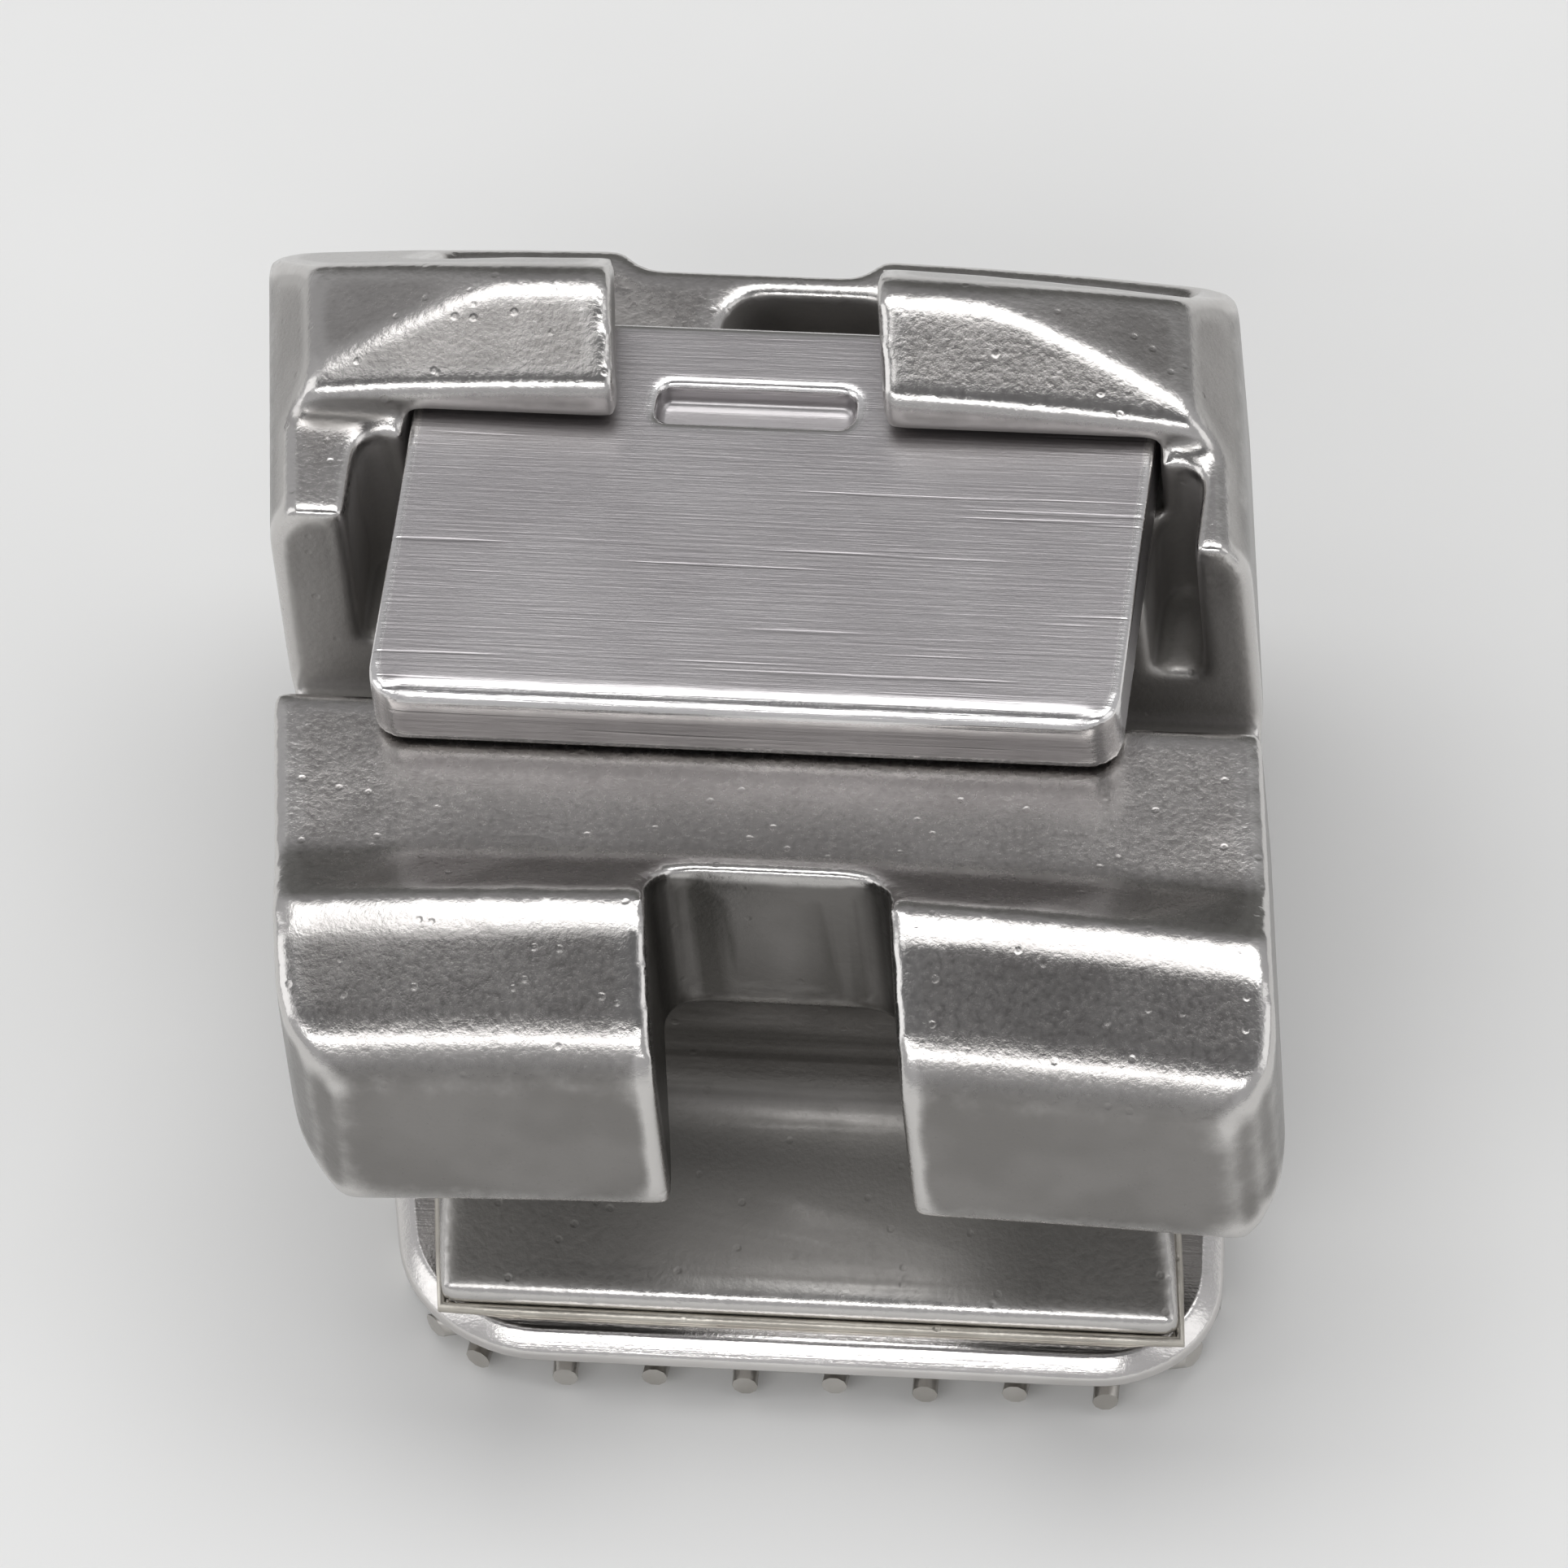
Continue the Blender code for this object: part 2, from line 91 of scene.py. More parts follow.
def to_metres(piece):
    """Brings a piece that was modelled in millimetres to its real size, its object left at the origin."""
    pick(piece)
    piece.scale = (MM, MM, MM)
    bpy.ops.object.transform_apply(location=True, rotation=True, scale=True)
    return piece


def finish_piece(piece, body, nodes, material, angle=40):
    """Real size, soft shading, material, and its place in the frame."""
    to_metres(piece)
    bpy.ops.object.shade_smooth_by_angle(angle=math.radians(angle))
    piece.data.materials.clear()
    piece.data.materials.append(material)
    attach(piece, body)
    if nodes:
        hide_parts(*nodes)
    size = [round(d * 1000, 2) for d in piece.dimensions]
    print(f"{piece.name}: {len(piece.data.polygons)} faces, {size} mm")
    return piece


# %% [markdown]
# ## Modelling helpers
#
# Most pieces start from a primitive. Its parts are then selected in code, by where they are, and shaped
# with the same operators that a hand would use in edit mode.

# %% Edit-mode helpers
def edit(piece, component="VERT"):
    pick(piece)
    bpy.ops.object.mode_set(mode="EDIT")
    bpy.ops.mesh.select_mode(type=component)


def select_where(piece, test, component="VERT"):
    """Selects the vertices, edges or faces whose centre passes the test, and stays in edit mode."""
    if piece.mode != "EDIT":
        edit(piece, component)
    bpy.ops.mesh.select_mode(type=component)
    bpy.ops.mesh.select_all(action="DESELECT")
    bpy.ops.object.mode_set(mode="OBJECT")
    mesh = piece.data
    if component == "VERT":
        for vertex in mesh.vertices:
            vertex.select = test(vertex.co)
    elif component == "EDGE":
        for edge in mesh.edges:
            ends = [mesh.vertices[index].co for index in edge.vertices]
            edge.select = test((ends[0] + ends[1]) / 2, (ends[1] - ends[0]).normalized())
    else:
        for face in mesh.polygons:
            face.select = test(face.center, face.normal)
    bpy.ops.object.mode_set(mode="EDIT")


def done_editing():
    bpy.ops.object.mode_set(mode="OBJECT")


def add_block(name, centre, size):
    """A block of this size at this place, ready to be shaped."""
    nothing_selected()
    bpy.ops.mesh.primitive_cube_add(size=1, location=centre)
    block = bpy.context.object
    block.name = name
    block.scale = size
    bpy.ops.object.transform_apply(location=True, rotation=False, scale=True)
    return block


def lean(piece):
    """Leans a piece as the bracket's sides lean: along X, by a share of Y."""
    for vertex in piece.data.vertices:
        vertex.co.x -= LEAN * vertex.co.y
    return piece


def cad_copy(node, name):
    """A merged copy of a CAD node in millimetres; the node itself is left as it is."""
    copy = bpy.data.objects.new(name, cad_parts[node].data.copy())
    scene.collection.objects.link(copy)
    pick(copy)
    copy.scale = (1 / MM,) * 3
    bpy.ops.object.transform_apply(location=False, rotation=False, scale=True)
    edit(copy)
    bpy.ops.mesh.select_all(action="SELECT")
    bpy.ops.mesh.remove_doubles(threshold=MERGE_DISTANCE)
    done_editing()
    copy.data.materials.clear()
    return copy


# %% [markdown]
# ## What a tumbled edge looks like
#
# Moulded and sheared parts of this size are tumbled and electropolished, which rounds every edge by a few
# hundredths of a millimetre and leaves it brighter. Hollows are painted darker, a painted shade. A voxel remesh
# followed by a little smoothing gives that rounding everywhere at once, where a bevel would fail on the body's
# many crossings.
# How convex the surface is at each vertex is then kept in an attribute, so that materials can find the edges.
# Spread over more of the surface, the same measure finds broad ridges. A further attribute says how far the
# surface faces up: upright walls are polished less than the crests, and their colour is darker, a painted shade.

# %% Soften
def soften(piece, voxel, passes):
    """Remeshes a closed piece evenly, then rounds its edges."""
    apply_modifier(piece, "REMESH", mode="VOXEL", voxel_size=voxel, adaptivity=0.0)
    apply_modifier(piece, "SMOOTH", factor=0.5, iterations=passes)
    return piece


# %% Measure edges, ridges and upward faces
def write_attribute(piece, name, values):
    attribute = piece.data.attributes.new(name, "FLOAT", "POINT")
    attribute.data.foreach_set("value", np.asarray(values, dtype=np.float32))


def measure_bend(piece, name, reach, passes):
    """Writes an attribute that is 0.5 on flats, towards 1 where the surface is convex and towards 0 in hollows.

    More passes spread it further, so that a broad, gentle ridge counts as well as a corner.
    """
    mesh = piece.data
    count = len(mesh.vertices)
    places = np.empty(count * 3)
    normals = np.empty(count * 3)
    ends = np.empty(len(mesh.edges) * 2, dtype=np.int64)
    mesh.vertices.foreach_get("co", places)
    mesh.vertices.foreach_get("normal", normals)
    mesh.edges.foreach_get("vertices", ends)
    places, normals, ends = places.reshape(-1, 3), normals.reshape(-1, 3), ends.reshape(-1, 2)
    first, second = ends[:, 0], ends[:, 1]
    along = places[second] - places[first]
    square = np.maximum((along ** 2).sum(1), 1e-12)
    bend = np.zeros(count)
    np.add.at(bend, first, -(normals[first] * along).sum(1) / square)
    np.add.at(bend, second, (normals[second] * along).sum(1) / square)
    links = np.maximum(np.bincount(ends.ravel(), minlength=count), 1)
    bend /= links
    for _ in range(passes):
        total = np.zeros(count)
        np.add.at(total, first, bend[second])
        np.add.at(total, second, bend[first])
        bend = 0.5 * bend + 0.5 * total / links
    write_attribute(piece, name, np.clip(0.5 + bend * reach, 0, 1))
    return piece


def measure_upward(piece):
    """Writes the attribute "upward", 1 where the surface faces up and 0 where it is upright or faces down."""
    write_attribute(piece, "upward", [max(0.0, vertex.normal.z) for vertex in piece.data.vertices])
    return piece


# %% [markdown]
# Electropolishing also works less in recesses, which stay duller: the current hardly reaches them. Their
# upright walls below the slot are painted nearly black, a painted shade.
# So each vertex gets one more value, "open": the share of rays from it that leave the piece unhindered.

# %% Measure how open each place is
RAY_TILTS = (0.25, 0.6, 0.95)
RAYS_PER_TILT = 5
RAY_START = 0.01
RAY_REACH = 1.6


def measure_openness(piece):
    """Writes the attribute "open", 1 where nothing of the piece stands in front and 0 deep in a recess."""
    mesh = piece.data
    tree = BVHTree.FromPolygons([v.co for v in mesh.vertices], [p.vertices for p in mesh.polygons])
    rays = []
    for tilt in RAY_TILTS:
        for turn in range(RAYS_PER_TILT):
            angle = 2 * math.pi * turn / RAYS_PER_TILT + tilt
            aside = math.sin(tilt)
            rays.append(Vector((aside * math.cos(angle), aside * math.sin(angle), math.cos(tilt))))
    values = []
    for vertex in mesh.vertices:
        turned = vertex.normal.to_track_quat("Z", "Y")
        start = vertex.co + vertex.normal * RAY_START
        free = sum(tree.ray_cast(start, turned @ ray, RAY_REACH)[0] is None for ray in rays)
        values.append(free / len(rays))
    write_attribute(piece, "open", values)
    return piece


# %% [markdown]
# ## Shared surface effects
#
# Three effects come back in these metals, so each is a node group, built once: the fine grain of the surface,
# polished edges with a mask for hollows, and fine scratches. The body's steel makes the hollows duller and gives
# them a painted shade. A group puts out masks and heights only. The shader stays in the material, where a
# roughness or a colour can be tied to them.

# %% Node helpers
def new_group(name, inputs, outputs):
    group = bpy.data.node_groups.new(name, "ShaderNodeTree")
    for title, kind, value in inputs:
        socket = group.interface.new_socket(name=title, in_out="INPUT", socket_type=kind)
        if value is not None:
            socket.default_value = value
    for title, kind in outputs:
        group.interface.new_socket(name=title, in_out="OUTPUT", socket_type=kind)
    return group


def node(tree, kind, **settings):
    made = tree.nodes.new(kind)
    for key, value in settings.items():
        setattr(made, key, value)
    return made


def feed(tree, socket, value):
    """Gives an input a number, a colour or the output of another node."""
    if isinstance(value, tuple):
        socket.default_value = (*value, 1.0)
    elif isinstance(value, (int, float)):
        socket.default_value = value
    else:
        tree.links.new(value, socket)


def math_node(tree, operation, *values):
    """A Math node with numbers or sockets on its inputs; returns its output."""
    made = node(tree, "ShaderNodeMath", operation=operation)
    for socket, value in zip(made.inputs, values):
        feed(tree, socket, value)
    return made.outputs[0]


def mix_colours(tree, factor, first, second):
    """A mix of two colours or sockets; returns the mixed colour."""
    made = node(tree, "ShaderNodeMix", data_type="RGBA")
    for index, value in ((0, factor), (6, first), (7, second)):
        feed(tree, made.inputs[index], value)
    return made.outputs[2]


def ramp(tree, value, low, high, out_low=0.0, out_high=1.0):
    """A smooth step of a value between two limits."""
    made = node(tree, "ShaderNodeMapRange", interpolation_type="SMOOTHSTEP", clamp=True)
    tree.links.new(value, made.inputs["Value"])
    made.inputs["From Min"].default_value = low
    made.inputs["From Max"].default_value = high
    made.inputs["To Min"].default_value = out_low
    made.inputs["To Max"].default_value = out_high
    return made.outputs["Result"]


def noise(tree, vector, scale, detail=3.0, roughness=0.55):
    made = node(tree, "ShaderNodeTexNoise")
    tree.links.new(vector, made.inputs["Vector"])
    feed(tree, made.inputs["Scale"], scale)
    made.inputs["Detail"].default_value = detail
    made.inputs["Roughness"].default_value = roughness
    return made.outputs["Fac"]


# %% Group: grain
def build_grain():
    """Fine grain over a soft, slow unevenness, for a position in millimetres."""
    tree = new_group(
        "metal_grain",
        [("Position", "NodeSocketVector", None), ("Fine scale", "NodeSocketFloat", 38.0),
         ("Slow scale", "NodeSocketFloat", 3.0), ("Waves", "NodeSocketFloat", 1.6),
         ("Pits", "NodeSocketFloat", 0.5)],
        [("Height", "NodeSocketFloat"), ("Fine", "NodeSocketFloat"), ("Slow", "NodeSocketFloat")],
    )
    source = node(tree, "NodeGroupInput")
    sink = node(tree, "NodeGroupOutput")
    fine = noise(tree, source.outputs["Position"], source.outputs["Fine scale"], 4.0, 0.6)
    slow = noise(tree, source.outputs["Position"], source.outputs["Slow scale"], 2.0, 0.5)
    cells = node(tree, "ShaderNodeTexVoronoi", feature="F1")
    cells.inputs["Scale"].default_value = 9.0
    tree.links.new(source.outputs["Position"], cells.inputs["Vector"])
    pits = ramp(tree, cells.outputs["Distance"], 0.06, 0.16, 1.0, 0.0)
    pits = math_node(tree, "MULTIPLY", pits, source.outputs["Pits"])
    height = math_node(tree, "MULTIPLY_ADD", slow, source.outputs["Waves"], fine)
    height = math_node(tree, "SUBTRACT", height, pits)
    tree.links.new(height, sink.inputs["Height"])
    tree.links.new(fine, sink.inputs["Fine"])
    tree.links.new(slow, sink.inputs["Slow"])
    return tree


grain_group = build_grain()


# %% Group: polished edges and dull hollows
def build_edge_finish():
    """Masks from the measured edges: polish on the convex ones, broken up a little, and hollows, for dullness and
    painted shade.
    """
    tree = new_group(
        "edge_finish",
        [("Edge", "NodeSocketFloat", 0.5), ("Break up", "NodeSocketFloat", 0.5),
         ("Position", "NodeSocketVector", None)],
        [("Polish", "NodeSocketFloat"), ("Hollow", "NodeSocketFloat")],
    )
    source = node(tree, "NodeGroupInput")
    sink = node(tree, "NodeGroupOutput")
    patches = noise(tree, source.outputs["Position"], 7.0, 3.0, 0.6)
    broken = math_node(tree, "SUBTRACT", patches, 0.5)
    broken = math_node(tree, "MULTIPLY", broken, source.outputs["Break up"])
    edge = math_node(tree, "ADD", source.outputs["Edge"], math_node(tree, "MULTIPLY", broken, 0.25))
    tree.links.new(ramp(tree, edge, 0.56, 0.80), sink.inputs["Polish"])
    tree.links.new(ramp(tree, edge, 0.46, 0.22), sink.inputs["Hollow"])
    return tree


edge_group = build_edge_finish()


# %% Group: fine scratches
def build_scratches():
    """Fine lines along X, some of them longer and deeper, for a position in millimetres."""
    tree = new_group(
        "fine_scratches",
        [("Position", "NodeSocketVector", None), ("Across", "NodeSocketFloat", 70.0),
         ("Along", "NodeSocketFloat", 1.6)],
        [("Lines", "NodeSocketFloat"), ("Deep", "NodeSocketFloat")],
    )
    source = node(tree, "NodeGroupInput")
    sink = node(tree, "NodeGroupOutput")
    stretch = node(tree, "ShaderNodeCombineXYZ")
    tree.links.new(source.outputs["Along"], stretch.inputs["X"])
    tree.links.new(source.outputs["Across"], stretch.inputs["Y"])
    tree.links.new(source.outputs["Across"], stretch.inputs["Z"])
    scaled = node(tree, "ShaderNodeVectorMath", operation="MULTIPLY")
    tree.links.new(source.outputs["Position"], scaled.inputs[0])
    tree.links.new(stretch.outputs["Vector"], scaled.inputs[1])
    lines = noise(tree, scaled.outputs["Vector"], 1.0, 3.0, 0.65)
    deep = noise(tree, scaled.outputs["Vector"], 0.33, 1.0, 0.5)
    tree.links.new(lines, sink.inputs["Lines"])
    tree.links.new(ramp(tree, deep, 0.66, 0.74), sink.inputs["Deep"])
    return tree


scratch_group = build_scratches()
print("groups:", [group.name for group in bpy.data.node_groups])


# %% [markdown]
# ## A metal from the shared effects
#
# All pieces but the braze are stainless steel, and differ in how they were made: moulded and electropolished,
# ground to a satin, rolled, or drawn to wire. Finish holds what each node tree needs, and each function after
# it sets the colours, roughness and heights of one metal. Coordinates are the object's own, in millimetres.

# %% Steel finishes
class Finish:
    """A node tree under construction with its shader, position and mixing helpers."""

    def __init__(self, name):
        self.material = bpy.data.materials.new(name)
        self.material.use_nodes = True
        self.tree = self.material.node_tree
        self.shader = self.tree.nodes["Principled BSDF"]
        self.shader.inputs["Metallic"].default_value = 1.0
        coordinates = node(self.tree, "ShaderNodeTexCoord")
        scaled = node(self.tree, "ShaderNodeMapping")
        scaled.inputs["Scale"].default_value = (1 / MM,) * 3
        self.tree.links.new(coordinates.outputs["Object"], scaled.inputs["Vector"])
        self.position = scaled.outputs["Vector"]

    def use(self, group, **values):
        made = node(self.tree, "ShaderNodeGroup", node_tree=group)
        if "Position" in made.inputs:
            self.tree.links.new(self.position, made.inputs["Position"])
        for key, value in values.items():
            feed(self.tree, made.inputs[key.replace("_", " ")], value)
        return made

    def attribute(self, name):
        return node(self.tree, "ShaderNodeAttribute", attribute_name=name).outputs["Fac"]

    def axis(self, name):
        """The position along one axis, in millimetres."""
        made = node(self.tree, "ShaderNodeSeparateXYZ")
        self.tree.links.new(self.position, made.inputs["Vector"])
        return made.outputs[name]

    def mix(self, factor, first, second):
        return mix_colours(self.tree, factor, first, second)

    def colour(self, socket):
        self.tree.links.new(socket, self.shader.inputs["Base Color"])

    def roughness(self, socket):
        self.tree.links.new(socket, self.shader.inputs["Roughness"])

    def bump(self, height, depth_um):
        """Relief of this depth in thousandths of a millimetre."""
        made = node(self.tree, "ShaderNodeBump")
        made.inputs["Strength"].default_value = 1.0
        made.inputs["Distance"].default_value = depth_um * 1e-6
        self.tree.links.new(height, made.inputs["Height"])
        self.tree.links.new(made.outputs["Normal"], self.shader.inputs["Normal"])


# %% Moulded and electropolished steel: the body
GROUND_FROM, GROUND_FULL = -0.48, -0.36


def moulded_steel():
    """Polished edges and crests, rougher sides with a painted shade, hollows and lower recess walls painted dark
    as shade, and paler walls in the ground slot and channel.
    """
    look = Finish("moulded_steel_look")
    tree = look.tree
    grain = look.use(grain_group, Fine_scale=42.0, Slow_scale=2.6, Waves=3.0, Pits=0.8)
    edges = look.use(edge_group, Edge=look.attribute("edge"), Break_up=0.8)
    ridges = look.use(edge_group, Edge=look.attribute("crest"), Break_up=0.6)
    side = ramp(tree, look.attribute("upward"), 0.30, 0.78, 1.0, 0.0)
    crest_share = math_node(tree, "MULTIPLY_ADD", side, -0.6, 0.6)
    crests = math_node(tree, "MULTIPLY", ridges.outputs["Polish"], crest_share)
    polish = math_node(tree, "MAXIMUM", edges.outputs["Polish"], crests)
    slow = ramp(tree, grain.outputs["Slow"], 0.35, 0.65)
    base = look.mix(slow, (0.370, 0.356, 0.345), (0.430, 0.414, 0.402))
    speckle = ramp(tree, grain.outputs["Fine"], 0.34, 0.48, 1.0, 0.0)
    base = look.mix(math_node(tree, "MULTIPLY", speckle, 0.35), base, (0.29, 0.277, 0.265))
    # Painted shade: the hollows are darkened in colour.
    base = look.mix(math_node(tree, "MULTIPLY", edges.outputs["Hollow"], 0.8), base, (0.17, 0.162, 0.152))
    # Painted shade: upright sides are darker in colour than the faces turned up.
    painted_side_shade = look.mix(slow, (0.188, 0.181, 0.173), (0.222, 0.214, 0.206))
    base = look.mix(math_node(tree, "MULTIPLY", side, 0.85), base, painted_side_shade)
    base = look.mix(polish, base, (0.62, 0.605, 0.59))
    closed = ramp(tree, look.attribute("open"), 0.45, 1.0, 1.0, 0.0)
    closed_wall = math_node(tree, "MULTIPLY", closed, side)
    closed_floor = math_node(tree, "SUBTRACT", closed, closed_wall)
    base = look.mix(math_node(tree, "MULTIPLY", closed_floor, 0.8), base, (0.330, 0.318, 0.300))
    # Painted shade: upright walls of closed recesses below the slot are nearly black; the ground walls above stay
    # pale.
    ground = ramp(tree, look.axis("Y"), GROUND_FROM, GROUND_FULL)
    wall_shade_and_ground_tone = look.mix(ground, (0.070, 0.066, 0.060), (0.430, 0.414, 0.401))
    base = look.mix(math_node(tree, "MULTIPLY", closed_wall, 0.92), base, wall_shade_and_ground_tone)
    look.colour(base)
    rough = math_node(tree, "MULTIPLY_ADD", grain.outputs["Fine"], 0.20, 0.15)
    rough = math_node(tree, "MULTIPLY_ADD", polish, -0.07, rough)
    rough = math_node(tree, "MULTIPLY_ADD", edges.outputs["Hollow"], 0.16, rough)
    rough = math_node(tree, "MULTIPLY_ADD", closed_wall, 0.10, rough)
    rough = math_node(tree, "MULTIPLY_ADD", closed_floor, 0.34, rough)
    rough = math_node(tree, "MULTIPLY_ADD", side, 0.06, rough)
    ground_wall = math_node(tree, "MULTIPLY", ground, closed_wall)
    rough = math_node(tree, "MULTIPLY_ADD", ground_wall, 0.20, rough)
    look.roughness(rough)
    look.bump(grain.outputs["Height"], 1.5)
    return look.material


# %% Satin steel: the door
def satin_steel():
    look = Finish("satin_steel_look")
    tree = look.tree
    grain = look.use(grain_group, Fine_scale=55.0, Slow_scale=1.8, Pits=0.15)
    edges = look.use(edge_group, Edge=look.attribute("edge"), Break_up=0.5)
    lines = look.use(scratch_group, Across=85.0, Along=2.2)
    slow = ramp(tree, grain.outputs["Slow"], 0.35, 0.65)
    base = look.mix(slow, (0.430, 0.412, 0.419), (0.478, 0.461, 0.467))
    base = look.mix(math_node(tree, "MULTIPLY", lines.outputs["Lines"], 0.35), base, (0.36, 0.347, 0.351))
    base = look.mix(edges.outputs["Polish"], base, (0.80, 0.785, 0.78))
    look.colour(base)
    rough = math_node(tree, "MULTIPLY_ADD", lines.outputs["Lines"], 0.16, 0.26)
    rough = math_node(tree, "MULTIPLY_ADD", edges.outputs["Polish"], -0.14, rough)
    look.roughness(rough)
    height = math_node(tree, "MULTIPLY_ADD", grain.outputs["Fine"], 0.5, lines.outputs["Lines"])
    height = math_node(tree, "MULTIPLY_ADD", lines.outputs["Deep"], -0.8, height)
    look.bump(height, 1.0)
    return look.material


# %% Rolled foil
def foil_steel():
    look = Finish("foil_steel_look")
    tree = look.tree
    grain = look.use(grain_group, Fine_scale=48.0, Slow_scale=2.2, Pits=0.3)
    lines = look.use(scratch_group, Across=60.0, Along=1.2)
    slow = ramp(tree, grain.outputs["Slow"], 0.35, 0.65)
    base = look.mix(slow, (0.720, 0.700, 0.685), (0.800, 0.780, 0.765))
    base = look.mix(math_node(tree, "MULTIPLY", lines.outputs["Lines"], 0.4), base, (0.56, 0.54, 0.52))
    look.colour(base)
    look.roughness(math_node(tree, "MULTIPLY_ADD", lines.outputs["Lines"], 0.16, 0.12))
    look.bump(math_node(tree, "MULTIPLY_ADD", lines.outputs["Lines"], 1.0, grain.outputs["Fine"]), 1.0)
    return look.material


# %% Brazed mesh wire, tinted where a laser marked it
def mesh_steel():
    look = Finish("mesh_steel_look")
    tree = look.tree
    grain = look.use(grain_group, Fine_scale=60.0, Slow_scale=4.0, Pits=0.5)
    slow = ramp(tree, grain.outputs["Slow"], 0.35, 0.65)
    base = look.mix(slow, (0.500, 0.480, 0.450), (0.600, 0.580, 0.550))
    patches = ramp(tree, grain.outputs["Fine"], 0.2, 0.5, 0.6, 1.0)
    tint = math_node(tree, "MULTIPLY", look.attribute("tint"), patches)
    base = look.mix(tint, base, (0.250, 0.130, 0.065))
    look.colour(base)
    look.roughness(math_node(tree, "MULTIPLY_ADD", grain.outputs["Fine"], 0.26, 0.2))
    look.bump(grain.outputs["Height"], 1.6)
    return look.material


# %% Drawn spring wire, and brazing alloy
def spring_steel():
    look = Finish("spring_wire_look")
    tree = look.tree
    grain = look.use(grain_group, Fine_scale=70.0, Slow_scale=5.0, Pits=0.2)
    base = look.mix(ramp(tree, grain.outputs["Slow"], 0.35, 0.65), (0.46, 0.45, 0.44), (0.56, 0.55, 0.53))
    look.colour(base)
    look.roughness(math_node(tree, "MULTIPLY_ADD", grain.outputs["Fine"], 0.2, 0.16))
    look.bump(grain.outputs["Fine"], 0.8)
    return look.material


def braze_metal():
    look = Finish("braze_look")
    tree = look.tree
    grain = look.use(grain_group, Fine_scale=30.0, Slow_scale=5.0, Pits=0.9)
    slow = ramp(tree, grain.outputs["Slow"], 0.35, 0.65)
    look.colour(look.mix(slow, (0.500, 0.470, 0.420), (0.620, 0.590, 0.530)))
    look.roughness(math_node(tree, "MULTIPLY_ADD", grain.outputs["Fine"], 0.3, 0.24))
    look.bump(grain.outputs["Height"], 2.5)
    return look.material


steel_for = {
    "body": moulded_steel(), "door": satin_steel(), "foil": foil_steel(),
    "mesh": mesh_steel(), "spring": spring_steel(), "braze": braze_metal(),
}
print("finishes:", [look.name for look in steel_for.values()])

# %% [markdown]
# ## The moulded body
#
# The body is metal powder pressed into a mould, sintered and tumbled. Its shape is right in the frame, but
# every edge there is sharp. A merged copy is remeshed finely and smoothed, which rounds the edges as tumbling
# does and gives enough vertices to tell edges from hollows. More than half of its faces are then given up
# again. The steel above gives the upright walls of the lower recesses a painted shade, nearly black. The slot
# and the door's channel are ground after moulding, so their walls keep a pale tone and are rougher. It tells
# them apart by their place along Y alone, so the hollows under the upper wings are pale as well.

# %% Body
body_casting = cad_copy("bracket_body", "body_casting")
soften(body_casting, voxel=0.019, passes=26)
measure_bend(body_casting, "edge", reach=0.11, passes=8)
measure_bend(body_casting, "crest", reach=0.26, passes=26)
apply_modifier(body_casting, "DECIMATE", ratio=0.42)
measure_upward(body_casting)
measure_openness(body_casting)
finish_piece(body_casting, "bracket", ["bracket_body"], steel_for["body"], angle=75)

# %% [markdown]
# ## The door
#
# The door is a stamped plate, ground to a satin. It is modelled as a block with rounded corners, with the
# recess for the opening tool cut from its outer face. The stud on its inner face is a round pin whose free end
# is chamfered. It stands in the spring's pocket, out of sight.

# %% Door plate
door_low, door_high = (Vector(corner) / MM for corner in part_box("sliding_door"))
DOOR_THICKNESS = 0.25
DOOR_CORNER = 0.12
DOOR_LEAD = 0.08
DOOR_INNER = door_high.z - DOOR_THICKNESS
plate_centre = ((door_low.x + door_high.x) / 2, (door_low.y + door_high.y) / 2, door_high.z - DOOR_THICKNESS / 2)
plate_size = (door_high.x - door_low.x, door_high.y - door_low.y, DOOR_THICKNESS)
door_plate = add_block("door_plate", plate_centre, plate_size)
select_where(door_plate, lambda middle, way: abs(way.z) > 0.9, "EDGE")
bpy.ops.mesh.bevel(offset=DOOR_CORNER, segments=6, affect="EDGES")
done_editing()
lead_edge = Vector((door_low.y, door_high.z))
select_where(door_plate, lambda middle, way: (middle.yz - lead_edge).length < 0.01, "EDGE")
bpy.ops.mesh.bevel(offset=DOOR_LEAD, segments=4, affect="EDGES")
done_editing()
print("door plate:", [round(s, 3) for s in plate_size])

# %% Door: the tool recess
RECESS_SIZE = (0.70, 0.17, 0.20)
RECESS_START = 0.77
RECESS_CORNER = 0.05
recess_middle = (-LEAN * RECESS_START, RECESS_START + RECESS_SIZE[1] / 2, door_high.z)
recess_cutter = add_block("recess_cutter", recess_middle, RECESS_SIZE)
select_where(recess_cutter, lambda middle, way: abs(way.z) > 0.9, "EDGE")
bpy.ops.mesh.bevel(offset=RECESS_CORNER, segments=4, affect="EDGES")
done_editing()
apply_modifier(door_plate, "BOOLEAN", object=recess_cutter, operation="DIFFERENCE", solver="EXACT")
bpy.data.objects.remove(recess_cutter)
soften(door_plate, voxel=0.017, passes=3)
measure_bend(door_plate, "edge", reach=0.09, passes=2)
finish_piece(door_plate, "door", ["sliding_door"], steel_for["door"], angle=75)

